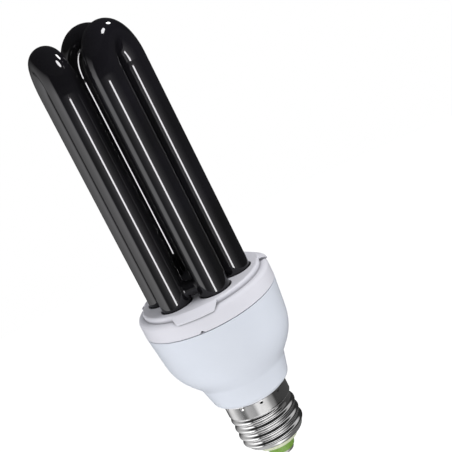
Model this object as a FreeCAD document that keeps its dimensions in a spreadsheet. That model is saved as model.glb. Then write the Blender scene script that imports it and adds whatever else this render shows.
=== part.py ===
import FreeCAD, Part
import math
import os
from types import SimpleNamespace

import Sketcher

# Driving dimensions, in millimetres. The cap's heights are above the contact's lower face.
# From its top edge each height is above the level before it: bead, neck, cup, seam, ledge.
# The glass feet are above the board.
DIMENSIONS = (
    # Glass
    ("lamp_height", 182.3),
    ("tube_diameter", 12.0),
    ("leg_spacing", 14.2),
    ("plane_offset", 13.15),
    ("arch_rise", 12.0),
    ("foot_height", 5.4),
    ("foot_round", 3.0),
    ("bridge_diameter", 6.0),
    ("bridge_rise", 4.3),
    ("bridge_blend", 1.0),
    # Tube cover
    ("seam_gap", 0.35),
    ("ledge_height", 7.0),
    ("shoulder_round", 1.7),
    ("platform_radius", 24.3),
    ("ledge_width", 2.8),
    ("platform_rise", 2.0),
    ("lip_round", 0.9),
    ("tab_proud", 0.5),
    ("tab_outer_width", 14.6),
    ("tab_inner_width", 17.6),
    ("tab_drop", 0.8),
    ("tab_slant", 1.9),
    ("tab_edge", 0.6),
    ("tab_round", 0.8),
    ("tab_gap", 0.35),
    ("tab_gap_depth", 0.6),
    ("cover_wall", 1.8),
    ("plate_thickness", 2.4),
    ("hole_clearance", 0.6),
    ("sleeve_wall", 1.2),
    ("sleeve_depth", 6.0),
    ("cement_depth", 4.0),
    ("skirt_depth", 3.0),
    ("lip_wall", 0.9),
    ("joint_clearance", 0.1),
    ("notch_width", 2.2),
    ("notch_rise", 0.9),
    ("notch_depth", 2.2),
    # Ballast housing
    ("housing_wall", 1.8),
    ("cup_radius", 25.05),
    ("seam_height", 19.4),
    ("cup_height", 8.8),
    ("cup_round", 21.0),
    ("cup_inner_round", 8.0),
    ("neck_radius", 17.9),
    ("neck_height", 8.7),
    ("neck_round", 3.2),
    ("bead_radius", 15.8),
    ("bead_height", 1.7),
    ("bead_round", 2.5),
    ("edge_radius", 13.2),
    ("edge_height", 29.2),
    ("cone_lift", 0.6),
    ("spigot_wall", 1.9),
    ("spigot_end", 15.8),
    ("spigot_land", 3.0),
    # Screw cap
    ("sheet_thickness", 0.4),
    ("collar_radius", 13.1),
    ("collar_height", 5.6),
    ("collar_step", 0.7),
    ("root_radius", 12.2),
    ("crest_radius", 13.2),
    ("crest_width", 2.7),
    ("thread_pitch", 3.629),
    ("thread_start", 11.17),
    ("end_height", 7.8),
    ("end_round", 2.6),
    ("end_hole_radius", 9.4),
    ("punch_radius", 0.9),
    ("punch_depth", 0.25),
    ("punch_drop", 0.7),
    ("cap_clearance", 0.1),
    # Insulator and contact
    ("flange_height", 1.0),
    ("step_radius", 8.1),
    ("step_height", 5.6),
    ("nose_radius", 6.3),
    ("nose_height", 4.9),
    ("tip_radius", 5.2),
    ("tip_round", 1.0),
    ("contact_radius", 4.6),
    ("contact_height", 1.5),
    ("contact_round", 1.1),
    ("lead_radius", 0.6),
    ("lead_clearance", 0.4),
    # Ballast board, its seat below the seam, and what it carries
    ("board_radius", 23.6),
    ("board_clearance", 0.2),
    ("board_shelf", 1.1),
    ("board_seat", 11.0),
    ("board_thickness", 1.6),
    ("can_radius", 5.0),
    ("can_length", 18.0),
    ("can_offset", 7.5),
    ("can_round", 0.7),
    ("core_width", 14.0),
    ("core_depth", 5.0),
    ("core_drop", 13.0),
    ("core_limb", 2.2),
    ("core_centre_x", 3.5),
    ("core_centre_y", 8.0),
    ("coil_depth", 11.0),
    ("coil_clearance", 0.1),
    ("ring_radius", 3.2),
    ("ring_section", 1.5),
    ("ring_x", 13.0),
    ("ring_y", 4.5),
    ("transistor_width", 8.0),
    ("transistor_depth", 3.2),
    ("transistor_drop", 11.0),
    ("transistor_x", 13.5),
    ("transistor_y", 5.0),
    ("resonance_width", 9.0),
    ("resonance_depth", 4.5),
    ("resonance_drop", 8.0),
    ("coupling_width", 8.0),
    ("coupling_depth", 4.0),
    ("coupling_drop", 7.0),
    ("film_x", 9.8),
    ("film_y", 12.8),
    ("film_round", 0.8),
    ("diode_radius", 1.3),
    ("diode_length", 4.6),
    ("diode_spacing", 3.0),
    ("diode_x", 14.6),
    ("diode_y", 12.2),
    ("fuse_radius", 1.6),
    ("fuse_length", 8.0),
    ("fuse_inset", 8.1),
    ("fuse_y", 9.0),
    ("neutral_offset", 8.3),
    ("neutral_bend", 2.0),
    ("neutral_drop", 1.6),
    ("filament_radius", 0.35),
    ("filament_spacing", 3.0),
)

# The three U-tubes face these directions, and the bridges and tabs stand between them
TURN = 360.0
TUBE_COUNT = 3
FIRST_TUBE_ANGLE = -90.0
BRIDGE_ANGLES = (-150.0, -30.0)
THREAD_TURNS = 10 / 3
THREAD_ANGLE = -120.0
PUNCH_COUNT = 10
PUNCH_ANGLE = 11.0
DIODE_COUNT = 4
NEUTRAL_ANGLE = -25.0
OVERLAP = 1.0


class Size:
    """A length, with its value and the sheet expression that it follows."""

    def __init__(self, value, text):
        self.value = value
        self.text = text

    def __add__(self, other):
        return Size(self.value + worth(other), f"({self.text} + {wording(other)})")

    def __sub__(self, other):
        return Size(self.value - worth(other), f"({self.text} - {wording(other)})")

    def __mul__(self, other):
        return Size(self.value * worth(other), f"({self.text} * {wording(other)})")

    def __truediv__(self, other):
        return Size(self.value / worth(other), f"({self.text} / {wording(other)})")

    def __neg__(self):
        return Size(-self.value, f"(0 - {self.text})")


def worth(item):
    return item.value if isinstance(item, Size) else float(item)


def wording(item):
    return item.text if isinstance(item, Size) else f"({round(float(item), 9)})"


doc = FreeCAD.newDocument("BlackLightBulb")
sheet = doc.addObject("Spreadsheet::Sheet", "Dimensions")
for row, (alias, value) in enumerate(DIMENSIONS, start=1):
    sheet.set(f"A{row}", alias)
    sheet.set(f"B{row}", str(value))
    sheet.setAlias(f"B{row}", alias)
doc.recompute()
D = SimpleNamespace()
for alias, _ in DIMENSIONS:
    setattr(D, alias, Size(float(sheet.get(alias)), f"Dimensions.{alias}"))
pieces = []


# Sheet-bound document objects

def bind(item, path, size):
    item.setExpression(path, wording(size))


def place(item, x=0.0, y=0.0, z=0.0, rotation=None):
    """Sets a placement whose base follows the sheet."""
    base = FreeCAD.Vector(worth(x), worth(y), worth(z))
    item.Placement = FreeCAD.Placement(base, rotation or FreeCAD.Rotation())
    for axis, size in (("x", x), ("y", y), ("z", z)):
        if isinstance(size, Size):
            bind(item, f"Placement.Base.{axis}", size)


def primitive(kind, name, **sizes):
    item = doc.addObject(f"Part::{kind}", name)
    for path, size in sizes.items():
        bind(item, path, size)
    return item


def keep(item, label):
    """Names a finished sub-part."""
    item.Label = label
    pieces.append(item)


def origin_feature(body, role):
    return next(item for item in body.Origin.OriginFeatures if item.Role == role)


def new_body(name, label):
    body = doc.addObject("PartDesign::Body", name)
    keep(body, label)
    return body


def new_sketch(body, role, name, lift=None):
    sketch = body.newObject("Sketcher::SketchObject", name)
    sketch.AttachmentSupport = (origin_feature(body, role), [""])
    sketch.MapMode = "FlatFace"
    if lift is not None:
        sketch.AttachmentOffset = FreeCAD.Placement(FreeCAD.Vector(0, 0, worth(lift)), FreeCAD.Rotation())
        bind(sketch, "AttachmentOffset.Base.z", lift)
    return sketch


def turn_sketch(sketch, angle, height=None):
    """Turns an upright sketch about the lamp's axis, and may raise it."""
    around = FreeCAD.Rotation(FreeCAD.Vector(0, 1, 0), angle)
    sketch.AttachmentOffset = FreeCAD.Placement(FreeCAD.Vector(0, worth(height or 0), 0), around)
    if height is not None:
        bind(sketch, "AttachmentOffset.Base.y", height)


# Sketch geometry tied to the sheet

def tie(sketch, size, kind, *where):
    """Adds a dimension that follows the sheet, also where its value is negative."""
    index = sketch.addConstraint(Sketcher.Constraint(kind, *where, worth(size)))
    name = f"{kind}_{index}"
    sketch.renameConstraint(index, name)
    bind(sketch, f"Constraints.{name}", size)


def pin_point(sketch, geometry, position, x, y):
    """Fixes a vertex at x, y from the sketch's origin."""
    for kind, size, axis in (("DistanceX", x, -2), ("DistanceY", y, -1)):
        value = worth(size)
        if value == 0:
            sketch.addConstraint(Sketcher.Constraint("PointOnObject", geometry, position, axis))
        elif value > 0:
            tie(sketch, size, kind, -1, 1, geometry, position)
        else:
            tie(sketch, -size, kind, geometry, position, -1, 1)


def corner_cut(before, corner, after, radius):
    """Gives the two tangent points and the centre of the arc that rounds a corner."""
    back = (before - corner).normalize()
    ahead = (after - corner).normalize()
    half = back.getAngle(ahead) / 2
    reach = radius / math.tan(half)
    centre = corner + (back + ahead).normalize() * (radius / math.sin(half))
    return corner + back * reach, corner + ahead * reach, centre


def outline(sketch, corners, closed=True):
    """Draws straight sides through corners of x, y and an optional rounding radius."""
    points = [FreeCAD.Vector(worth(x), worth(y), 0) for x, y, *_ in corners]
    count = len(points)
    cuts = []
    for index, (_, _, *radius) in enumerate(corners):
        if radius:
            after = points[(index + 1) % count]
            cuts.append(corner_cut(points[index - 1], points[index], after, worth(radius[0])))
        else:
            cuts.append((points[index], points[index], None))
    lines = []
    for index in range(count if closed else count - 1):
        segment = Part.LineSegment(cuts[index][1], cuts[(index + 1) % count][0])
        lines.append(sketch.addGeometry(segment, False))
    if not closed:
        pin_point(sketch, lines[0], 1, *corners[0])
        pin_point(sketch, lines[-1], 2, *corners[-1])
    for index, (x, y, *radius) in enumerate(corners):
        if not closed and index in (0, count - 1):
            continue
        before, after = lines[index - 1], lines[index]
        if not radius:
            sketch.addConstraint(Sketcher.Constraint("Coincident", before, 2, after, 1))
            pin_point(sketch, after, 1, x, y)
            continue
        arc, first, last = rounding_arc(sketch, *cuts[index])
        sketch.addConstraint(Sketcher.Constraint("Tangent", before, 2, arc, first))
        sketch.addConstraint(Sketcher.Constraint("Tangent", arc, last, after, 1))
        corner = sketch.addGeometry(Part.Point(points[index]), True)
        sketch.addConstraint(Sketcher.Constraint("PointOnObject", corner, 1, before))
        sketch.addConstraint(Sketcher.Constraint("PointOnObject", corner, 1, after))
        pin_point(sketch, corner, 1, x, y)
        tie(sketch, radius[0], "Radius", arc)


def rounding_arc(sketch, entry, leave, centre):
    """Adds the arc from entry to leave and says which of its ends is which."""
    start, end = entry - centre, leave - centre
    angles = [math.atan2(start.y, start.x), math.atan2(end.y, end.x)]
    anticlockwise = start.cross(end).z > 0
    if not anticlockwise:
        angles.reverse()
    if angles[1] < angles[0]:
        angles[1] += 2 * math.pi
    circle = Part.Circle(centre, FreeCAD.Vector(0, 0, 1), start.Length)
    arc = sketch.addGeometry(Part.ArcOfCircle(circle, *angles), False)
    return (arc, 1, 2) if anticlockwise else (arc, 2, 1)


def circle_at(sketch, x, y, radius):
    middle = FreeCAD.Vector(worth(x), worth(y), 0)
    ring = sketch.addGeometry(Part.Circle(middle, FreeCAD.Vector(0, 0, 1), worth(radius)), False)
    pin_point(sketch, ring, 3, x, y)
    tie(sketch, radius, "Radius", ring)


# Part design features

def revolve(body, sketch, name):
    turned = body.newObject("PartDesign::Revolution", name)
    turned.Profile = sketch
    turned.ReferenceAxis = (sketch, ["V_Axis"])
    turned.Angle = TURN
    return turned


def pad(body, sketch, name, length, backwards=False):
    raised = body.newObject("PartDesign::Pad", name)
    raised.Profile = sketch
    bind(raised, "Length", length)
    raised.Reversed = backwards
    return raised


def pocket(body, sketch, name, length):
    recess = body.newObject("PartDesign::Pocket", name)
    recess.Profile = sketch
    bind(recess, "Length", length)
    return recess


def groove(body, sketch, name):
    recess = body.newObject("PartDesign::Groove", name)
    recess.Profile = sketch
    recess.ReferenceAxis = (sketch, ["V_Axis"])
    recess.Angle = TURN
    body.Tip = recess
    return recess


def polar(body, feature, name, count):
    pattern = body.newObject("PartDesign::PolarPattern", name)
    pattern.Originals = [feature]
    pattern.Axis = (origin_feature(body, "Z_Axis"), [""])
    pattern.Angle = TURN
    pattern.Occurrences = count
    body.Tip = pattern
    return pattern


def polar_point(radius, angle):
    return radius * math.cos(math.radians(angle)), radius * math.sin(math.radians(angle))


def near(value, size):
    return abs(value - worth(size)) < 1e-4


def level(edge, height):
    """Tells whether an edge lies flat at a height."""
    box = edge.BoundBox
    return near(box.ZMin, height) and near(box.ZMax, height)


# Shared radii
tube_radius = D.tube_diameter / 2
hole_radius = tube_radius + D.hole_clearance
bend_radius = D.leg_spacing / 2
band_radius = D.platform_radius + D.ledge_width
shell_bore = D.root_radius - D.sheet_thickness
lead_bore = D.lead_radius + D.lead_clearance

# Shared levels, stacked up from the cap's top edge
bead_level = D.edge_height + D.bead_height
neck_level = bead_level + D.neck_height
cup_level = neck_level + D.cup_height
seam_level = cup_level + D.seam_height
ledge_level = seam_level + D.ledge_height
platform_top = ledge_level + D.platform_rise
bend_height = D.lamp_height - tube_radius - D.arch_rise
plate_under = platform_top - D.plate_thickness
sleeve_end = plate_under - D.sleeve_depth
skirt_foot = seam_level - D.skirt_depth
seat_level = seam_level - D.board_seat
board_top = seat_level + D.board_thickness
foot_level = board_top + D.foot_height
collar_foot = D.edge_height - D.collar_height
end_floor = D.end_height + D.sheet_thickness

tube_angles = [FIRST_TUBE_ANGLE + TURN / TUBE_COUNT * index for index in range(TUBE_COUNT)]


# Discharge tube: three U-bends of glass, fused by bridges into one sealed vessel

def leg_places(angle):
    """Gives the two leg centres of the U-tube that faces an angle."""
    middle_x, middle_y = polar_point(D.plane_offset, angle)
    along_x, along_y = polar_point(bend_radius, angle + TURN / 4)
    return (middle_x - along_x, middle_y - along_y), (middle_x + along_x, middle_y + along_y)


def make_u_tube(angle, index):
    """Two upright legs, and a round section swept from one to the other along half an ellipse."""
    glass = []
    leg_height = bend_height - foot_level
    for side, (x, y) in enumerate(leg_places(angle)):
        leg = primitive("Cylinder", f"Leg{index}{side}", Radius=tube_radius, Height=leg_height)
        place(leg, x, y, foot_level)
        glass.append(leg)
    ring = primitive("Circle", f"Ring{index}", Radius=tube_radius)
    place(ring, x, y, bend_height)
    facing = FreeCAD.Rotation(FreeCAD.Vector(0, 0, 1), angle + TURN / 4)
    on_edge = FreeCAD.Rotation(FreeCAD.Vector(1, 0, 0), TURN / 4)
    apex_up = FreeCAD.Rotation(FreeCAD.Vector(0, 0, 1), -TURN / 4)
    arch = primitive("Ellipse", f"Arch{index}", MajorRadius=D.arch_rise, MinorRadius=bend_radius)
    arch.Angle1 = TURN / 4
    arch.Angle2 = TURN * 3 / 4
    middle_x, middle_y = polar_point(D.plane_offset, angle)
    place(arch, middle_x, middle_y, bend_height, facing * on_edge * apex_up)
    bend = doc.addObject("Part::Sweep", f"Bend{index}")
    bend.Sections = [ring]
    bend.Spine = (arch, ["Edge1"])
    bend.Solid = True
    bend.Frenet = True
    glass.append(bend)
    return glass


def make_bridge(angle, index):
    """A short glass tube between the neighbouring legs of two U-tubes."""
    half_gap = TURN / TUBE_COUNT / 2
    first_x, first_y = leg_places(angle - half_gap)[1]
    second_x, second_y = leg_places(angle + half_gap)[0]
    span = Size(math.hypot(worth(first_x) - worth(second_x), worth(first_y) - worth(second_y)),
                f"sqrt(({first_x.text} - {second_x.text})^2 + ({first_y.text} - {second_y.text})^2)")
    tube = primitive("Cylinder", f"Bridge{index}", Radius=D.bridge_diameter / 2, Height=span)
    direction = FreeCAD.Vector(worth(second_x) - worth(first_x), worth(second_y) - worth(first_y), 0)
    lying = FreeCAD.Rotation(FreeCAD.Vector(0, 0, 1), direction)
    place(tube, first_x, first_y, platform_top + D.bridge_rise, lying)
    return tube


def make_discharge_tube():
    glass = []
    for index, angle in enumerate(tube_angles):
        glass += make_u_tube(angle, index)
    glass += [make_bridge(angle, index) for index, angle in enumerate(BRIDGE_ANGLES)]
    vessel = doc.addObject("Part::MultiFuse", "Vessel")
    vessel.Shapes = glass
    vessel.Refine = True
    doc.recompute()
    bridge_height = worth(platform_top + D.bridge_rise)
    rounds = []
    for index, edge in enumerate(vessel.Shape.Edges, start=1):
        box = edge.BoundBox
        if level(edge, foot_level):
            rounds.append((index, worth(D.foot_round), worth(D.foot_round)))
        elif near(box.Center.z, bridge_height) and box.ZLength < worth(D.tube_diameter):
            rounds.append((index, worth(D.bridge_blend), worth(D.bridge_blend)))
    blended = doc.addObject("Part::Fillet", "DischargeTube")
    blended.Base = vessel
    blended.Edges = rounds
    keep(blended, "discharge_tube")


# Tube cover: upper plastic moulding that the legs stand in

def make_tabs(body):
    """Three tabs slope from the platform over the band's shoulder, with a gap under each foot."""
    reach = band_radius + D.tab_proud
    root = D.platform_radius - D.lip_round - OVERLAP
    tab_foot = ledge_level - D.tab_drop
    half_outer = D.tab_outer_width / 2
    half_inner = D.tab_inner_width / 2
    slant_top = tab_foot + D.tab_slant
    face = new_sketch(body, "XZ_Plane", "TabOutline", -root)
    outline(face, [
        (half_outer, tab_foot),
        (half_inner, slant_top),
        (half_inner, platform_top, D.tab_round),
        (-half_inner, platform_top, D.tab_round),
        (-half_inner, slant_top),
        (-half_outer, tab_foot),
    ])
    tab = pad(body, face, "Tab", reach - root + OVERLAP, True)
    polar(body, tab, "Tabs", TUBE_COUNT)
    outside = new_sketch(body, "XZ_Plane", "TabFaceProfile")
    past_corners = reach + half_inner + OVERLAP
    outline(outside, [
        (reach, tab_foot - OVERLAP),
        (past_corners, tab_foot - OVERLAP),
        (past_corners, platform_top + OVERLAP),
        (D.platform_radius, platform_top + OVERLAP),
        (D.platform_radius, platform_top),
        (reach, tab_foot + D.tab_edge),
    ])
    groove(body, outside, "TabFaces")
    line = new_sketch(body, "YZ_Plane", "TabGapProfile")
    outline(line, [
        (band_radius - D.tab_gap_depth, tab_foot - D.tab_gap),
        (reach, tab_foot - D.tab_gap),
        (reach, tab_foot),
        (band_radius - D.tab_gap_depth, tab_foot),
    ])
    gap = groove(body, line, "TabGap")
    gap.Midplane = True
    gap.setExpression("Angle", f"2 * asin({half_outer.text} / {band_radius.text})")
    polar(body, gap, "TabGaps", TUBE_COUNT)


def leg_circles(body, name, height, radius):
    """Two circles around the legs of the U-tube that faces the front."""
    sketch = new_sketch(body, "XY_Plane", name, height)
    for side in (-1, 1):
        circle_at(sketch, bend_radius * side, -D.plane_offset, radius)
    return sketch


def make_tube_cover():
    body = new_body("TubeCover", "tube_cover")
    profile = new_sketch(body, "XZ_Plane", "CoverProfile")
    seam_face = seam_level + D.seam_gap
    skirt_inner = band_radius - D.cover_wall
    skirt_outer = band_radius - D.lip_wall - D.joint_clearance
    outline(profile, [
        (band_radius, seam_face),
        (band_radius, ledge_level, D.shoulder_round),
        (D.platform_radius, ledge_level),
        (D.platform_radius, platform_top, D.lip_round),
        (0, platform_top),
        (0, plate_under),
        (skirt_inner, plate_under),
        (skirt_inner, skirt_foot),
        (skirt_outer, skirt_foot),
        (skirt_outer, seam_face),
    ])
    revolve(body, profile, "CoverTurned")
    make_tabs(body)
    sleeve_circles = leg_circles(body, "SleeveCircles", plate_under, hole_radius + D.sleeve_wall)
    sleeve = pad(body, sleeve_circles, "Sleeve", D.sleeve_depth, True)
    polar(body, sleeve, "Sleeves", TUBE_COUNT)
    hole_circles = leg_circles(body, "HoleCircles", platform_top, hole_radius)
    hole = pocket(body, hole_circles, "Hole", D.plate_thickness + D.sleeve_depth)
    polar(body, hole, "Holes", TUBE_COUNT)
    notch_sketch = new_sketch(body, "XZ_Plane", "NotchOutline", D.notch_depth - band_radius)
    outline(notch_sketch, [
        (-D.notch_width / 2, seam_face),
        (D.notch_width / 2, seam_face),
        (0, seam_face + D.notch_rise),
    ])
    notch = pocket(body, notch_sketch, "Notch", D.notch_depth + OVERLAP)
    polar(body, notch, "Notches", TUBE_COUNT)


def make_tube_cement():
    body = new_body("TubeCement", "tube_cement")
    rings = leg_circles(body, "CementCircles", sleeve_end, hole_radius)
    for side in (-1, 1):
        circle_at(rings, bend_radius * side, -D.plane_offset, tube_radius)
    ring = pad(body, rings, "CementRing", D.cement_depth)
    polar(body, ring, "CementRings", TUBE_COUNT)


# Ballast housing: lower plastic cup, turned down to a spigot that carries the screw cap

def make_ballast_housing():
    body = new_body("BallastHousing", "ballast_housing")
    profile = new_sketch(body, "XZ_Plane", "CupProfile")
    wall = D.housing_wall
    collar_seat = D.collar_radius - D.sheet_thickness - D.cap_clearance
    thread_seat = shell_bore - D.cap_clearance
    spigot_bore = thread_seat - D.spigot_wall
    land_foot = D.edge_height - D.spigot_land
    floor = D.edge_height + wall + D.cone_lift
    outline(profile, [
        (band_radius, seam_level),
        (D.cup_radius, cup_level, D.cup_round),
        (D.neck_radius, neck_level, D.neck_round),
        (D.bead_radius, bead_level, D.bead_round),
        (D.edge_radius, D.edge_height),
        (collar_seat, D.edge_height),
        (collar_seat, land_foot),
        (thread_seat, land_foot - D.collar_step),
        (thread_seat, D.spigot_end),
        (spigot_bore, D.spigot_end),
        (spigot_bore, floor),
        (D.bead_radius - wall, floor),
        (D.neck_radius - wall, neck_level + D.cone_lift, D.neck_round + wall),
        (D.cup_radius - wall, cup_level + D.cone_lift, D.cup_inner_round),
        (D.board_radius - D.board_shelf, seat_level),
        (D.board_radius + D.board_clearance, seat_level),
        (band_radius - wall, skirt_foot),
        (band_radius - D.lip_wall, skirt_foot),
        (band_radius - D.lip_wall, seam_level),
    ])
    revolve(body, profile, "CupTurned")


# Screw cap: rolled shell with a knuckle thread, its insulator and its contact

def make_screw_shell():
    body = new_body("ScrewShell", "screw_shell")
    profile = new_sketch(body, "XZ_Plane", "ShellProfile")
    inner_round = D.end_round - D.sheet_thickness
    outline(profile, [
        (D.collar_radius, D.edge_height),
        (D.collar_radius, collar_foot),
        (D.root_radius, collar_foot - D.collar_step),
        (D.root_radius, D.end_height, D.end_round),
        (D.end_hole_radius, D.end_height),
        (D.end_hole_radius, end_floor),
        (shell_bore, end_floor, inner_round),
        (shell_bore, collar_foot - D.collar_step),
        (D.collar_radius - D.sheet_thickness, collar_foot),
        (D.collar_radius - D.sheet_thickness, D.edge_height),
    ])
    revolve(body, profile, "ShellTurned")
    knuckle = new_sketch(body, "XZ_Plane", "KnuckleProfile")
    turn_sketch(knuckle, THREAD_ANGLE)
    knuckle_sketch(knuckle)
    thread = body.newObject("PartDesign::AdditiveHelix", "Thread")
    thread.Profile = knuckle
    thread.ReferenceAxis = (knuckle, ["V_Axis"])
    thread.Mode = "pitch-turns-angle"
    bind(thread, "Pitch", D.thread_pitch)
    thread.Turns = THREAD_TURNS
    body.Tip = thread
    mark = new_sketch(body, "XZ_Plane", "PunchProfile")
    mark_height = D.edge_height - D.punch_drop
    turn_sketch(mark, PUNCH_ANGLE, mark_height)
    outline(mark, [
        (D.collar_radius - D.punch_depth, 0),
        (D.collar_radius + D.punch_depth, 0),
        (D.collar_radius + D.punch_depth, D.punch_radius * 2),
    ])
    punch = groove(body, mark, "Punch")
    punch.ReferenceAxis = (mark, ["H_Axis"])
    polar(body, punch, "Punches", PUNCH_COUNT)


def knuckle_sketch(sketch):
    """A rounded crest that stands on the thread's root, set a little into the sheet."""
    foot = D.root_radius - D.sheet_thickness / 2
    low_height = D.thread_start - D.crest_width / 2
    high_height = D.thread_start + D.crest_width / 2
    low = FreeCAD.Vector(worth(foot), worth(low_height), 0)
    high = FreeCAD.Vector(worth(foot), worth(high_height), 0)
    top = FreeCAD.Vector(worth(D.crest_radius), worth(D.thread_start), 0)
    arc = sketch.addGeometry(Part.Arc(low, top, high), False)
    base = sketch.addGeometry(Part.LineSegment(high, low), False)
    sketch.addConstraint(Sketcher.Constraint("Coincident", arc, 2, base, 1))
    sketch.addConstraint(Sketcher.Constraint("Coincident", base, 2, arc, 1))
    pin_point(sketch, base, 2, foot, low_height)
    pin_point(sketch, base, 1, foot, high_height)
    crest = sketch.addGeometry(Part.Point(top), True)
    sketch.addConstraint(Sketcher.Constraint("PointOnObject", crest, 1, arc))
    pin_point(sketch, crest, 1, D.crest_radius, D.thread_start)


def make_cap_insulator():
    body = new_body("CapInsulator", "cap_insulator")
    profile = new_sketch(body, "XZ_Plane", "InsulatorProfile")
    neck = D.end_hole_radius - D.cap_clearance
    flange = shell_bore - D.cap_clearance
    inner_round = D.end_round - D.sheet_thickness
    flange_foot = end_floor + inner_round
    outline(profile, [
        (lead_bore, D.contact_height),
        (D.tip_radius, D.contact_height, D.tip_round),
        (D.nose_radius, D.nose_height),
        (D.step_radius, D.step_height),
        (neck, D.end_height),
        (neck, end_floor),
        (shell_bore - inner_round, end_floor),
        (flange, flange_foot),
        (flange, flange_foot + D.flange_height),
        (lead_bore, flange_foot + D.flange_height),
    ])
    revolve(body, profile, "InsulatorTurned")


def make_centre_contact():
    body = new_body("CentreContact", "centre_contact")
    profile = new_sketch(body, "XZ_Plane", "ContactProfile")
    outline(profile, [
        (0, 0),
        (D.contact_radius, 0, D.contact_round),
        (D.contact_radius, D.contact_height),
        (0, D.contact_height),
    ])
    revolve(body, profile, "ContactTurned")


# Ballast: the board on its step, with its components below it

def hung_box(name, width, depth, drop, x, y):
    """A block under the board, centred on x, y."""
    block = primitive("Box", name, Length=width, Width=depth, Height=drop)
    place(block, x - width / 2, y - depth / 2, seat_level - drop)
    return block


def lying_cylinder(name, radius, length, x, y):
    """A cylinder under the board, lying along Y and centred on x, y."""
    rod = primitive("Cylinder", name, Radius=radius, Height=length)
    along = FreeCAD.Rotation(FreeCAD.Vector(1, 0, 0), -TURN / 4)
    place(rod, x, y - length / 2, seat_level - radius, along)
    return rod


def group(name, label, items):
    bundle = doc.addObject("Part::Compound", name)
    bundle.Links = items
    keep(bundle, label)


def cut(name, label, base, tool):
    remainder = doc.addObject("Part::Cut", name)
    remainder.Base = base
    remainder.Tool = tool
    keep(remainder, label)


def make_circuit_board():
    board = primitive("Cylinder", "CircuitBoard", Radius=D.board_radius, Height=D.board_thickness)
    place(board, z=seat_level)
    keep(board, "circuit_board")


def make_bulk_capacitor():
    body = new_body("BulkCapacitor", "bulk_capacitor")
    profile = new_sketch(body, "XZ_Plane", "CanProfile")
    can_foot = seat_level - D.can_length
    outline(profile, [
        (0, can_foot),
        (D.can_radius, can_foot, D.can_round),
        (D.can_radius, seat_level),
        (0, seat_level),
    ])
    revolve(body, profile, "CanTurned")
    place(body, y=-D.can_offset)


def make_choke():
    """A ferrite core with two windows, and the coil on its centre limb."""
    x, y = D.core_centre_x, D.core_centre_y
    frame = hung_box("CoreFrame", D.core_width, D.core_depth, D.core_drop, x, y)
    window_width = (D.core_width - D.core_limb * 4) / 2
    window_drop = D.core_drop - D.core_limb * 2
    window_foot = seat_level - D.core_limb - window_drop
    windows = []
    for side in (-1, 1):
        name = f"Window{len(windows)}"
        window = primitive("Box", name, Length=window_width, Width=D.core_depth, Height=window_drop)
        middle = x + (D.core_limb + window_width / 2) * side
        place(window, middle - window_width / 2, y - D.core_depth / 2, window_foot)
        windows.append(window)
    openings = doc.addObject("Part::MultiFuse", "Windows")
    openings.Shapes = windows
    cut("ChokeCore", "choke_core", frame, openings)
    coil_width = D.core_width - (D.core_limb + D.coil_clearance) * 2
    coil_drop = window_drop - D.coil_clearance * 2
    coil_foot = window_foot + D.coil_clearance
    coil = primitive("Box", "Coil", Length=coil_width, Width=D.coil_depth, Height=coil_drop)
    place(coil, x - coil_width / 2, y - D.coil_depth / 2, coil_foot)
    bore_width = (D.core_limb + D.coil_clearance) * 2
    bore_depth = D.core_depth + D.coil_clearance * 2
    bore = primitive("Box", "CoilBore", Length=bore_width, Width=bore_depth, Height=coil_drop)
    place(bore, x - bore_width / 2, y - bore_depth / 2, coil_foot)
    cut("ChokeWinding", "choke_winding", coil, bore)


def make_feedback_toroid():
    ring = primitive("Torus", "FeedbackToroid", Radius1=D.ring_radius, Radius2=D.ring_section)
    place(ring, -D.ring_x, D.ring_y, seat_level - D.ring_section)
    keep(ring, "feedback_toroid")


def make_power_transistors():
    pair = []
    for side in (-1, 1):
        name = f"Transistor{len(pair)}"
        pair.append(hung_box(name, D.transistor_depth, D.transistor_width, D.transistor_drop,
                             D.transistor_x * side, -D.transistor_y))
    group("PowerTransistors", "power_transistors", pair)


def make_film_capacitor(name, label, width, depth, drop, side):
    """A dipped block with all its edges rounded."""
    block = hung_box(f"{name}Block", width, depth, drop, D.film_x * side, -D.film_y)
    doc.recompute()
    limit = 0.4 * min(worth(width), worth(depth), worth(drop))
    radius = min(worth(D.film_round), limit)
    dipped = doc.addObject("Part::Fillet", name)
    dipped.Base = block
    dipped.Edges = [(index + 1, radius, radius) for index in range(len(block.Shape.Edges))]
    keep(dipped, label)


def make_rectifier_diodes():
    diodes = []
    for index in range(DIODE_COUNT):
        x = D.diode_spacing * index - D.diode_x
        diodes.append(lying_cylinder(f"Diode{index}", D.diode_radius, D.diode_length, x, D.diode_y))
    group("RectifierDiodes", "rectifier_diodes", diodes)


def make_fuse_resistor():
    fuse_x = D.board_radius - D.fuse_inset
    fuse = lying_cylinder("FuseResistor", D.fuse_radius, D.fuse_length, fuse_x, D.fuse_y)
    keep(fuse, "fuse_resistor")


# Leads from the cap and from the two electrode legs

def make_live_lead():
    lead = primitive("Cylinder", "LiveLead", Radius=D.lead_radius, Height=seat_level - D.contact_height)
    place(lead, z=D.contact_height)
    keep(lead, "live_lead")


def make_neutral_lead():
    """Runs down inside the spigot and bends out under its end to the shell's wall."""
    body = new_body("NeutralLead", "neutral_lead")
    run_height = D.spigot_end - D.neutral_drop
    path = new_sketch(body, "XZ_Plane", "LeadPath")
    outline(path, [
        (D.neutral_offset, seat_level),
        (D.neutral_offset, run_height, D.neutral_bend),
        (shell_bore - D.cap_clearance, run_height),
    ], closed=False)
    section = new_sketch(body, "XY_Plane", "LeadSection", seat_level)
    circle_at(section, D.neutral_offset, 0, D.lead_radius)
    wire = body.newObject("PartDesign::AdditivePipe", "LeadWire")
    wire.Profile = section
    wire.Spine = path
    body.Tip = wire
    place(body, rotation=FreeCAD.Rotation(FreeCAD.Vector(0, 0, 1), NEUTRAL_ANGLE))


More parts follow.
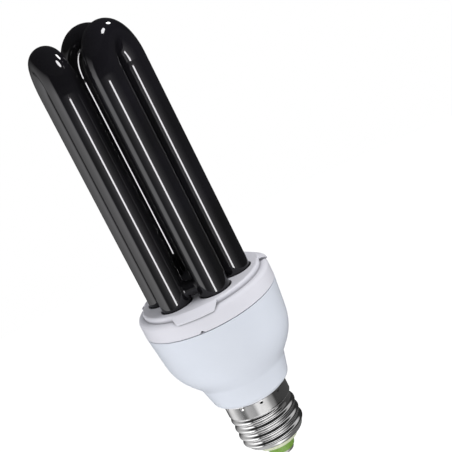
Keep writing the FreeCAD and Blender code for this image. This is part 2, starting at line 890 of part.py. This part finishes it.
def make_filament_leads():
    wires = []
    for x, y in (leg_places(tube_angles[1])[1], leg_places(tube_angles[2])[0]):
        for side in (-1, 1):
            wire = primitive("Cylinder", f"Filament{len(wires)}", Radius=D.filament_radius,
                             Height=D.foot_height)
            place(wire, x + D.filament_spacing / 2 * side, y, board_top)
            wires.append(wire)
    group("FilamentLeads", "filament_leads", wires)


def check_and_export():
    doc.recompute()
    for item in doc.Objects:
        if "Invalid" in item.State or "Error" in item.State:
            raise RuntimeError(f"{item.Name} did not compute: {item.State}")
    os.makedirs("parts", exist_ok=True)
    for item in pieces:
        shape = item.Shape
        if shape.isNull() or not shape.isValid():
            raise RuntimeError(f"{item.Label} has no valid shape")
        shape.exportStep(f"parts/{item.Label}.step")


make_discharge_tube()
make_tube_cover()
make_tube_cement()
make_ballast_housing()
make_screw_shell()
make_cap_insulator()
make_centre_contact()
make_circuit_board()
make_bulk_capacitor()
make_choke()
make_feedback_toroid()
make_power_transistors()
make_film_capacitor("ResonanceCapacitor", "resonance_capacitor",
                    D.resonance_width, D.resonance_depth, D.resonance_drop, 1)
make_film_capacitor("CouplingCapacitor", "coupling_capacitor",
                    D.coupling_width, D.coupling_depth, D.coupling_drop, -1)
make_rectifier_diodes()
make_fuse_resistor()
make_live_lead()
make_neutral_lead()
make_filament_leads()
check_and_export()
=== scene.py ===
import math

import bpy
from mathutils import Matrix, Vector


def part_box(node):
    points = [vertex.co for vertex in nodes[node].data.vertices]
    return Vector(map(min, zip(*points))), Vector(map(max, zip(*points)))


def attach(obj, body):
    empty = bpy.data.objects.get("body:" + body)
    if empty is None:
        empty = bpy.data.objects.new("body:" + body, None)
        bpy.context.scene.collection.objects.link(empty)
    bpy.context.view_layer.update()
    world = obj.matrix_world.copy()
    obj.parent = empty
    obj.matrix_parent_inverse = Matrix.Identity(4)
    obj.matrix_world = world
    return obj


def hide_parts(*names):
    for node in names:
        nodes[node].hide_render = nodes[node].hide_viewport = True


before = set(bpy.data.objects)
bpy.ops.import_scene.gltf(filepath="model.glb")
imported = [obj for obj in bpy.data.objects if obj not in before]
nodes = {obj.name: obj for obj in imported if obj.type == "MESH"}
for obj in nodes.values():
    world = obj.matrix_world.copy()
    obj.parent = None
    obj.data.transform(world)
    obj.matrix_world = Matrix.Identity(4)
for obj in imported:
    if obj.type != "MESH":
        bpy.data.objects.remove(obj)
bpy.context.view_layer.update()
scene = bpy.context.scene
scene.view_settings.view_transform = "Standard"

MM = 0.001
WHITE = (1.0, 1.0, 1.0, 1.0)

# Camera: stands in front of the lamp and a little above it, and is rolled so that the lamp leans
VIEW_TURN = math.radians(-45.8)
CAMERA_PLACE = Vector((2.22, -420.0, 206.17)) * MM
CAMERA_YAW = math.radians(-2.263)
CAMERA_DIP = math.radians(15.134)
CAMERA_ROLL = math.radians(-26.40)
LENS = 92.49
SENSOR = 36.0


def turn_z(angle):
    return Matrix.Rotation(angle, 4, "Z")


def make_camera():
    data = bpy.data.cameras.new("camera")
    data.lens = LENS
    data.sensor_width = SENSOR
    camera = bpy.data.objects.new("camera", data)
    scene.collection.objects.link(camera)
    place = Matrix.Translation(turn_z(VIEW_TURN) @ CAMERA_PLACE)
    level = Matrix.Rotation(math.pi / 2 - CAMERA_DIP, 4, "X")
    camera.matrix_world = place @ turn_z(VIEW_TURN + CAMERA_YAW) @ level @ turn_z(CAMERA_ROLL)
    scene.camera = camera


# Places on the lamp's axis and around it
BAND_STEPS = 96


def on_axis(height):
    return Vector((0, 0, height))


def around(azimuth, distance, height):
    """A point around the lamp: the azimuth is in degrees to the right of the camera."""
    angle = VIEW_TURN - math.pi / 2 + math.radians(azimuth)
    return Vector((distance * math.cos(angle), distance * math.sin(angle), height))


def ring_band(rings, first, last):
    """Points and faces of a band through (distance, height) rings, from one azimuth to another."""
    points = []
    for step in range(BAND_STEPS + 1):
        azimuth = first + (last - first) * step / BAND_STEPS
        points += [around(azimuth, *ring) for ring in rings]
    faces = []
    count = len(rings)
    for step in range(BAND_STEPS):
        for ring in range(count - 1):
            corner = step * count + ring
            faces.append((corner, corner + 1, corner + count + 1, corner + count))
    return points, faces


# World: white where it is seen or mirrored, softer where it only lights
AMBIENT_COLOUR = (0.97, 0.985, 1.0, 1.0)
AMBIENT = 0.37


def seen_directly(tree):
    """An output that is 1 on rays that look, mirror or pass through, and 0 on rays that only light."""
    path = tree.nodes.new("ShaderNodeLightPath")
    seen = path.outputs["Is Camera Ray"]
    for name in ("Is Glossy Ray", "Is Transmission Ray"):
        either = tree.nodes.new("ShaderNodeMath")
        either.operation = "MAXIMUM"
        tree.links.new(seen, either.inputs[0])
        tree.links.new(path.outputs[name], either.inputs[1])
        seen = either.outputs[0]
    return seen


def background(tree, colour, strength):
    light = tree.nodes.new("ShaderNodeBackground")
    light.inputs["Color"].default_value = colour
    light.inputs["Strength"].default_value = strength
    return light.outputs[0]


def make_world():
    world = bpy.data.worlds.new("world")
    scene.world = world
    world.use_nodes = True
    tree = world.node_tree
    tree.nodes.clear()
    mix = tree.nodes.new("ShaderNodeMixShader")
    output = tree.nodes.new("ShaderNodeOutputWorld")
    tree.links.new(seen_directly(tree), mix.inputs["Fac"])
    tree.links.new(background(tree, AMBIENT_COLOUR, AMBIENT), mix.inputs[1])
    tree.links.new(background(tree, WHITE, 1.0), mix.inputs[2])
    tree.links.new(mix.outputs[0], output.inputs["Surface"])


# Floor: pale, well below the lamp, which something else holds up; its own light makes it white
FLOOR_HEIGHT = -0.7
FLOOR_RADIUS = 3.0
FLOOR_COLOUR = (0.9, 0.9, 0.9, 1.0)
FLOOR_ROUGHNESS = 0.9
FLOOR_GLOW = 0.7


def make_floor():
    points, faces = ring_band([(0.0, FLOOR_HEIGHT), (FLOOR_RADIUS, FLOOR_HEIGHT)], 0, 360)
    mesh = bpy.data.meshes.new("floor")
    mesh.from_pydata(points, [], faces)
    floor = bpy.data.objects.new("floor", mesh)
    scene.collection.objects.link(floor)
    material = bpy.data.materials.new("floor")
    material.use_nodes = True
    tree = material.node_tree
    surface = tree.nodes["Principled BSDF"]
    surface.inputs["Base Color"].default_value = FLOOR_COLOUR
    surface.inputs["Roughness"].default_value = FLOOR_ROUGHNESS
    surface.inputs["Emission Color"].default_value = WHITE
    level = tree.nodes.new("ShaderNodeMath")
    level.operation = "MULTIPLY"
    level.inputs[1].default_value = FLOOR_GLOW
    tree.links.new(seen_directly(tree), level.inputs[0])
    tree.links.new(level.outputs[0], surface.inputs["Emission Strength"])
    mesh.materials.append(material)


# Studio lights, each a flat shape that faces the lamp's axis
# Soft lights: name, azimuth, distance, height, height of the aim, size, radiance
SOFT_LIGHTS = (
    ("softbox_left", -88, 0.55, 0.17, 0.10, 0.55, 1.90),
    ("softbox_right", 95, 0.60, 0.10, 0.08, 0.50, 0.45),
    ("softbox_front", 0, 0.70, 0.10, 0.08, 0.50, 1.25),
    ("softbox_back", 178, 0.60, -0.02, 0.06, 0.60, 2.00),
    ("fill", 75, 0.50, 0.72, 0.07, 0.60, 4.10),
    ("bounce", -10, 0.45, -0.40, 0.06, 0.60, 1.65),
)
# Upright strips that draw a line on each leg: name, azimuth
STRIP_LIGHTS = (("strip_front", 0), ("strip_back", 180))
STRIP_DISTANCE = 0.42
STRIP_HEIGHT = 0.03
STRIP_WIDTH = 0.075
STRIP_LENGTH = 0.178
STRIP_RADIANCE = 19.5
# Round lights above the tips of the tubes: name, azimuth, elevation, size
OVERHEAD_LIGHTS = (("overhead_near", 66, 41, 0.15), ("overhead_far", 111, 36, 0.12))
OVERHEAD_DISTANCE = 0.5
OVERHEAD_RADIANCE = 20.0
TIP_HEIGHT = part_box("discharge_tube")[1].z


def make_light(name, place, aim, width, length, radiance, round_shape=False):
    data = bpy.data.lights.new(name, "AREA")
    data.shape = "ELLIPSE" if round_shape else "RECTANGLE"
    data.size = width
    data.size_y = length
    area = width * length * (math.pi / 4 if round_shape else 1.0)
    data.energy = radiance * math.pi * area
    light = bpy.data.objects.new(name, data)
    scene.collection.objects.link(light)
    facing = (aim - place).to_track_quat("-Z", "Y")
    light.matrix_world = Matrix.Translation(place) @ facing.to_matrix().to_4x4()
    return light


def shine_only_on(light, *pieces):
    """Keeps a light or a card to some pieces."""
    lit = bpy.data.collections.new(f"{light.name}_pieces")
    for piece in pieces:
        lit.objects.link(piece)
    light.light_linking.receiver_collection = lit


def make_lights():
    glass = nodes["discharge_tube"]
    for name, azimuth in STRIP_LIGHTS:
        place = around(azimuth, STRIP_DISTANCE, STRIP_HEIGHT)
        aim = on_axis(STRIP_HEIGHT)
        strip = make_light(name, place, aim, STRIP_WIDTH, STRIP_LENGTH, STRIP_RADIANCE)
        shine_only_on(strip, glass)
    for name, azimuth, distance, height, aim_height, size, radiance in SOFT_LIGHTS:
        place = around(azimuth, distance, height)
        soft = make_light(name, place, on_axis(aim_height), size, size, radiance)
        soft.visible_glossy = False
    for name, azimuth, elevation, size in OVERHEAD_LIGHTS:
        away = OVERHEAD_DISTANCE * math.cos(math.radians(elevation))
        up = OVERHEAD_DISTANCE * math.sin(math.radians(elevation))
        place = around(azimuth, away, TIP_HEIGHT + up)
        aim = on_axis(TIP_HEIGHT)
        overhead = make_light(name, place, aim, size, size, OVERHEAD_RADIANCE, round_shape=True)
        shine_only_on(overhead, glass)


# Cards that only reflections show: a dark flag all round, and pale cards for the glass and the metal
# Rings of a card: distance, height, share of its level
# Stops of a card: azimuth, level
DARK = 0.03
FLAG_RINGS = ((0.8, -0.65, 1.0), (0.8, 1.0, 1.0), (0.0, 1.0, 1.0))
FLAG_STOPS = ((-180, DARK), (180, DARK))
LEFT_RINGS = ((0.55, -0.3, 1.0), (0.55, 0.12, 1.0), (0.55, 0.42, 0.0))
LEFT_STOPS = ((-152, 0.1), (-116, 0.8), (-93, 1.6), (-74, 2.4), (-65, 2.2), (-57, 0.1))
FRONT_RINGS = ((0.56, -0.3, 1.0), (0.56, 0.08, 1.0), (0.56, 0.13, 0.0))
FRONT_STOPS = (
    (-57, 0.1), (-43, 0.2), (-28, 0.4), (-12, 0.9), (12, 0.9), (28, 0.4), (43, 0.2), (62, 0.02),
)
TABLE_HEIGHT = -0.06
FAR_RINGS = ((0.15, TABLE_HEIGHT, 1.0), (0.32, TABLE_HEIGHT, 1.0))
FAR_STOPS = (
    (-180, 0.05), (-155, 0.08), (-142, 0.25), (-125, 0.85), (-108, 1.0), (-88, 0.45), (-70, 0.15),
    (-62, 0.2), (-52, 0.5), (-25, 0.4), (-13, 1.05), (20, 0.95), (32, 0.42), (47, 0.22), (51, 0.06),
    (180, 0.08),
)
NEAR_RINGS = ((0.005, TABLE_HEIGHT, 1.0), (0.15, TABLE_HEIGHT, 1.0))
NEAR_STOPS = (
    (-180, 0.25), (-130, 0.6), (-60, 0.55), (-15, 1.4), (25, 1.4), (50, 0.55), (72, 0.16), (180, 0.16),
)
HIGH_RINGS = ((0.5, 0.2, 0.4), (0.5, 0.31, 1.0), (0.5, 0.42, 0.7))
HIGH_STOPS = ((-56, 0.5), (-20, 1.7), (20, 1.7), (45, 0.7), (60, 0.65), (110, 0.65), (140, 0.2))


def make_card(name, points, faces, glow):
    """A white card with its own brightness at each point."""
    mesh = bpy.data.meshes.new(name)
    mesh.from_pydata(points, [], faces)
    mesh.attributes.new("glow", "FLOAT", "POINT").data.foreach_set("value", glow)
    card = bpy.data.objects.new(name, mesh)
    scene.collection.objects.link(card)
    card.visible_camera = False
    card.visible_diffuse = False
    card.visible_transmission = False
    card.visible_shadow = False
    material = bpy.data.materials.new(name)
    material.use_nodes = True
    tree = material.node_tree
    tree.nodes.clear()
    level = tree.nodes.new("ShaderNodeAttribute")
    level.attribute_name = "glow"
    light = tree.nodes.new("ShaderNodeEmission")
    output = tree.nodes.new("ShaderNodeOutputMaterial")
    tree.links.new(level.outputs["Fac"], light.inputs["Strength"])
    tree.links.new(light.outputs[0], output.inputs["Surface"])
    mesh.materials.append(material)
    return card


def between(stops, place):
    """The level at a place, on straight lines between (place, level) stops."""
    for (low, level), (high, next_level) in zip(stops, stops[1:]):
        if low <= place <= high:
            return level + (next_level - level) * (place - low) / (high - low)
    return 0.0


def make_ring_card(name, rings, stops):
    """A band around the lamp. Its brightness follows the stops, times each ring's share."""
    first, last = stops[0][0], stops[-1][0]
    points, faces = ring_band([ring[:2] for ring in rings], first, last)
    glow = []
    for step in range(BAND_STEPS + 1):
        level = between(stops, first + (last - first) * step / BAND_STEPS)
        glow += [level * share for distance, height, share in rings]
    return make_card(name, points, faces, glow)


def make_cards(shell):
    glass = [nodes["discharge_tube"]]
    metal = [shell, nodes["cap_insulator"], nodes["centre_contact"]]
    make_ring_card("flag", FLAG_RINGS, FLAG_STOPS)
    pale_cards = (
        ("glow_left", LEFT_RINGS, LEFT_STOPS, glass + metal),
        ("glow_front", FRONT_RINGS, FRONT_STOPS, glass),
        ("table_far", FAR_RINGS, FAR_STOPS, metal),
        ("table_near", NEAR_RINGS, NEAR_STOPS, metal),
        ("glow_high", HIGH_RINGS, HIGH_STOPS, metal),
    )
    for name, rings, stops, pieces in pale_cards:
        card = make_ring_card(name, rings, stops)
        shine_only_on(card, *pieces)


# Screw shell: rolled sheet whose thread swells out of the wall and runs out at both ends
SHEET = 0.4 * MM
RIM = 0.12 * MM
SHELL_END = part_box("screw_shell")[0].z
SHELL_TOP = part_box("screw_shell")[1].z
COLLAR_RADIUS = 13.1 * MM
COLLAR_FOOT = 23.6 * MM
STEP_FOOT = 22.9 * MM
END_ROUND = 2.6 * MM
END_HOLE = 9.4 * MM
# Thread: FIRST_CREST is the height of a crest at angle zero, and LOW_FADE is a stretch of height
ROOT_RADIUS = 12.2 * MM
CREST_RADIUS = 13.2 * MM
PITCH = 3.629 * MM
FIRST_CREST = 12.38 * MM
THREAD_LOW = 10.2 * MM
LOW_FADE = 1.6 * MM
# The thread's upper end and its fade, in turns along the helix
THREAD_END = 2.78
END_FADE = 0.13
# Punch marks near the top edge of the collar
PUNCH_COUNT = 10
PUNCH_ANGLE = math.radians(11.0)
PUNCH_SPREAD = 0.55 * MM
PUNCH_DEPTH = 0.18 * MM
PUNCH_HEIGHT = 28.5 * MM
# Fineness of the mesh
AROUND_STEPS = 288
BEND_STEPS = 10
ROW_STEP = 0.13 * MM


def ease(value):
    """A smooth step from 0 to 1."""
    value = min(max(value, 0.0), 1.0)
    return value * value * (3.0 - 2.0 * value)


def thread_swell(angle, height):
    """How far the thread stands out of the root at a point of the wall."""
    turns = (height - FIRST_CREST) / PITCH - angle / (2 * math.pi)
    crest = 0.5 + 0.5 * math.cos(2 * math.pi * turns)
    along = round(turns) + angle / (2 * math.pi)
    fade = ease((height - THREAD_LOW) / LOW_FADE + 0.5) * ease((THREAD_END - along) / END_FADE)
    return (CREST_RADIUS - ROOT_RADIUS) * crest * fade


def punch_dent(angle, height):
    """How deep a punch mark is at a point of the collar."""
    pace = 2 * math.pi / PUNCH_COUNT
    beside = ((angle - PUNCH_ANGLE + pace / 2) % pace - pace / 2) * COLLAR_RADIUS
    apart = math.hypot(beside, height - PUNCH_HEIGHT)
    return PUNCH_DEPTH * math.exp(-(apart / PUNCH_SPREAD) ** 2)


def end_bend(bend_radius, worked):
    """Rows of the quarter circle that turns the wall into the flat end."""
    rows = []
    for step in range(BEND_STEPS + 1):
        angle = math.pi / 2 * step / BEND_STEPS
        radius = ROOT_RADIUS - END_ROUND + bend_radius * math.cos(angle)
        height = SHELL_END + END_ROUND - bend_radius * math.sin(angle)
        rows.append((radius, height, worked))
    return rows


def shell_rows():
    """The wall's section as (radius, height, worked) rows: down the outside, and up the inside."""
    rows = [(COLLAR_RADIUS - SHEET, SHELL_TOP, False), (COLLAR_RADIUS - RIM, SHELL_TOP, False)]
    height = SHELL_TOP - RIM
    while height > SHELL_END + END_ROUND:
        collar = ease((height - STEP_FOOT) / (COLLAR_FOOT - STEP_FOOT))
        rows.append((ROOT_RADIUS + (COLLAR_RADIUS - ROOT_RADIUS) * collar, height, True))
        height -= ROW_STEP
    rows += end_bend(END_ROUND, worked=True)
    rows.append((END_HOLE, SHELL_END, False))
    rows.append((END_HOLE, SHELL_END + SHEET, False))
    rows += reversed(end_bend(END_ROUND - SHEET, worked=False))
    rows.append((ROOT_RADIUS - SHEET, STEP_FOOT, False))
    rows.append((COLLAR_RADIUS - SHEET, COLLAR_FOOT, False))
    return rows


def make_screw_shell():
    rows = shell_rows()
    points = []
    for radius, height, worked in rows:
        for step in range(AROUND_STEPS):
            angle = 2 * math.pi * step / AROUND_STEPS
            reach = radius
            if worked:
                reach += thread_swell(angle, height) - punch_dent(angle, height)
            points.append((reach * math.cos(angle), reach * math.sin(angle), height))
    faces = []
    for row in range(len(rows)):
        below = (row + 1) % len(rows)
        for step in range(AROUND_STEPS):
            beside = (step + 1) % AROUND_STEPS
            faces.append((row * AROUND_STEPS + step, below * AROUND_STEPS + step,
                          below * AROUND_STEPS + beside, row * AROUND_STEPS + beside))
    mesh = bpy.data.meshes.new("rolled_shell")
    mesh.from_pydata(points, [], faces)
    mesh.shade_smooth()
    shell = bpy.data.objects.new("rolled_shell", mesh)
    scene.collection.objects.link(shell)
    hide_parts("screw_shell")
    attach(shell, "root")
    return shell


# Materials
EVEN = (1.0, 1.0, 1.0)


class Shader:
    """A surface under construction, on object coordinates."""

    def __init__(self, name):
        self.material = bpy.data.materials.new(name)
        self.material.use_nodes = True
        self.tree = self.material.node_tree
        self.surface = self.tree.nodes["Principled BSDF"]
        self.place = self.tree.nodes.new("ShaderNodeTexCoord").outputs["Object"]

    def node(self, kind, **settings):
        item = self.tree.nodes.new(kind)
        for key, value in settings.items():
            setattr(item, key, value)
        return item

    def link(self, source, target):
        self.tree.links.new(source, target)

    def set(self, **values):
        for name, value in values.items():
            self.surface.inputs[name.replace("_", " ")].default_value = value

    def noise(self, scale, detail=4.0, squeeze=EVEN):
        """Cloudy grain, which the squeeze makes finer along some axes."""
        mapping = self.node("ShaderNodeMapping")
        mapping.inputs["Scale"].default_value = squeeze
        self.link(self.place, mapping.inputs["Vector"])
        texture = self.node("ShaderNodeTexNoise")
        texture.inputs["Scale"].default_value = scale
        texture.inputs["Detail"].default_value = detail
        self.link(mapping.outputs["Vector"], texture.inputs["Vector"])
        return texture.outputs["Fac"]

    def ramp(self, factor, stops, target):
        """Spreads a factor over colours or values, and feeds it to an input of the surface."""
        ramp = self.node("ShaderNodeValToRGB")
        elements = ramp.color_ramp.elements
        for element, (position, colour) in zip(elements, stops, strict=True):
            channels = colour if isinstance(colour, tuple) else (colour, colour, colour)
            element.position = position
            element.color = (*channels, 1.0)
        self.link(factor, ramp.inputs["Fac"])
        self.link(ramp.outputs["Color"], self.surface.inputs[target])

    def bump(self, height, strength, distance):
        bump = self.node("ShaderNodeBump")
        bump.inputs["Strength"].default_value = strength
        bump.inputs["Distance"].default_value = distance
        self.link(height, bump.inputs["Height"])
        self.link(bump.outputs["Normal"], self.surface.inputs["Normal"])

    def paint_corner_shade(self, reach, closed, opened, least):
        """Darkens the base colour in inner corners: a painted shade where less light reaches.

        The colour is full where the open share of the sky is at least opened, and falls to least at closed.
        """
        corners = self.node("ShaderNodeAmbientOcclusion", samples=16, only_local=True)
        corners.inputs["Distance"].default_value = reach
        shade = self.node("ShaderNodeMapRange")
        shade.inputs["From Min"].default_value = closed
        shade.inputs["From Max"].default_value = opened
        shade.inputs["To Min"].default_value = least
        self.link(corners.outputs["AO"], shade.inputs["Value"])
        corner_shaded = self.node("ShaderNodeVectorMath", operation="SCALE")
        colour = self.surface.inputs["Base Color"]
        self.link(colour.links[0].from_socket, corner_shaded.inputs[0])
        self.link(shade.outputs["Result"], corner_shaded.inputs["Scale"])
        self.link(corner_shaded.outputs["Vector"], colour)


def black_glass():
    """Drawn glass, so its faint waves run along the legs."""
    shader = Shader("black_glass_look")
    shader.set(IOR=1.5, Specular_Tint=(0.985, 0.975, 1.0, 1.0))
    black = (0.0040, 0.0040, 0.0042)
    violet = (0.0062, 0.0058, 0.0075)
    shader.ramp(shader.noise(scale=30.0), [(0.35, black), (0.7, violet)], "Base Color")
    shader.ramp(shader.noise(scale=90.0, detail=6.0), [(0.4, 0.012), (0.75, 0.03)], "Roughness")
    waves = shader.noise(scale=55.0, detail=1.0, squeeze=(1.0, 1.0, 0.25))
    shader.bump(waves, strength=0.05, distance=0.4 * MM)
    return shader.material


# The housing is a little bluer than the cover
COVER_TINT = (0.770, 0.765, 0.825)
HOUSING_TINT = (0.735, 0.770, 0.845)


def white_plastic(name, tint):
    """Moulded plastic with a fine matt texture, and a painted shade that darkens its inner corners."""
    shader = Shader(f"{name}_look")
    shader.set(IOR=1.48)
    darker = tuple(0.97 * channel for channel in tint)
    shader.ramp(shader.noise(scale=60.0), [(0.3, darker), (0.7, tint)], "Base Color")
    # Painted shade: the base colour darkens in inner corners, by how closed in they are
    shader.paint_corner_shade(reach=1.3 * MM, closed=0.5, opened=0.95, least=0.45)
    shader.ramp(shader.noise(scale=220.0), [(0.35, 0.30), (0.7, 0.38)], "Roughness")
    shader.bump(shader.noise(scale=1400.0, detail=3.0), strength=0.12, distance=0.05 * MM)
    return shader.material


def nickel():
    """Plated sheet, with fine marks of the rolling around it."""
    shader = Shader("nickel_look")
    shader.set(Metallic=1.0)
    grey = (0.67, 0.665, 0.665)
    pale = (0.80, 0.795, 0.80)
    shader.ramp(shader.noise(scale=120.0, detail=5.0), [(0.35, grey), (0.65, pale)], "Base Color")
    marks = shader.noise(scale=400.0, squeeze=(1.0, 1.0, 6.0))
    shader.ramp(marks, [(0.35, 0.07), (0.7, 0.15)], "Roughness")
    ripples = shader.noise(scale=300.0, detail=2.0, squeeze=(1.0, 1.0, 3.0))
    shader.bump(ripples, strength=0.03, distance=0.05 * MM)
    return shader.material


INSULATOR_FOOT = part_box("cap_insulator")[0].z
INSULATOR_RISE = 7.0 * MM


def green_plastic():
    """Green at the foot of the insulator, and pale where it meets the shell."""
    shader = Shader("green_plastic_look")
    split = shader.node("ShaderNodeSeparateXYZ")
    shader.link(shader.place, split.inputs[0])
    rise = shader.node("ShaderNodeMapRange")
    rise.inputs["From Min"].default_value = INSULATOR_FOOT
    rise.inputs["From Max"].default_value = INSULATOR_FOOT + INSULATOR_RISE
    shader.link(split.outputs["Z"], rise.inputs["Value"])
    grain = shader.node("ShaderNodeMath", operation="MULTIPLY_ADD")
    grain.inputs[1].default_value = 0.08
    shader.link(shader.noise(scale=350.0), grain.inputs[0])
    shader.link(rise.outputs["Result"], grain.inputs[2])
    green = (0.180, 0.345, 0.046)
    pale = (0.640, 0.670, 0.480)
    shader.ramp(grain.outputs[0], [(0.55, green), (0.68, pale)], "Base Color")
    shader.ramp(shader.noise(scale=500.0), [(0.3, 0.22), (0.7, 0.36)], "Roughness")
    return shader.material


# Grainy finishes of the small pieces: dark colour, pale colour, scale of the grain, roughness
GRAINY = {
    "contact_metal": ((0.50, 0.50, 0.48), (0.66, 0.65, 0.62), 700.0, 0.35),
    "cement": ((0.52, 0.50, 0.45), (0.66, 0.64, 0.58), 900.0, 0.8),
    "board": ((0.30, 0.19, 0.08), (0.42, 0.28, 0.13), 500.0, 0.5),
    "can_sleeve": ((0.012, 0.014, 0.03), (0.03, 0.035, 0.06), 300.0, 0.35),
    "ferrite": ((0.03, 0.03, 0.03), (0.07, 0.065, 0.06), 1200.0, 0.6),
    "copper_wire": ((0.52, 0.22, 0.10), (0.72, 0.36, 0.18), 900.0, 0.3),
    "epoxy": ((0.012, 0.012, 0.012), (0.03, 0.03, 0.03), 1500.0, 0.45),
    "film_dip": ((0.30, 0.05, 0.02), (0.42, 0.09, 0.04), 400.0, 0.25),
    "resistor_paint": ((0.24, 0.36, 0.26), (0.34, 0.46, 0.36), 600.0, 0.5),
    "lead_sleeve": ((0.60, 0.58, 0.52), (0.74, 0.72, 0.66), 700.0, 0.6),
}
# Among them, the bare metals, and the grain that is finer along an axis
BARE_METALS = ("contact_metal", "copper_wire")
SQUEEZED = {"board": (1.0, 6.0, 1.0), "copper_wire": (1.0, 1.0, 12.0)}


def grainy(name, dark, pale, scale, roughness):
    """A finish whose grain shows in its colour and its relief."""
    shader = Shader(f"{name}_look")
    shader.set(Metallic=1.0 if name in BARE_METALS else 0.0)
    grain = shader.noise(scale, detail=5.0, squeeze=SQUEEZED.get(name, EVEN))
    shader.ramp(grain, [(0.35, dark), (0.65, pale)], "Base Color")
    shader.ramp(shader.noise(2.0 * scale), [(0.3, 0.8 * roughness), (0.7, 1.2 * roughness)], "Roughness")
    shader.bump(grain, strength=0.2, distance=0.1 * MM)
    return shader.material


def make_materials(shell):
    looks = {name: grainy(name, *finish) for name, finish in GRAINY.items()}
    looks["black_glass"] = black_glass()
    looks["nickel"] = nickel()
    looks["green_plastic"] = green_plastic()
    plastics = {
        "tube_cover": white_plastic("cover_plastic", COVER_TINT),
        "ballast_housing": white_plastic("housing_plastic", HOUSING_TINT),
    }
    for name, item in nodes.items():
        for slot in item.material_slots:
            slot.material = plastics.get(name) or looks[slot.material.name.split(".")[0]]
    shell.data.materials.append(looks["nickel"])


make_camera()
make_world()
make_floor()
make_lights()
screw_shell = make_screw_shell()
make_cards(screw_shell)
make_materials(screw_shell)
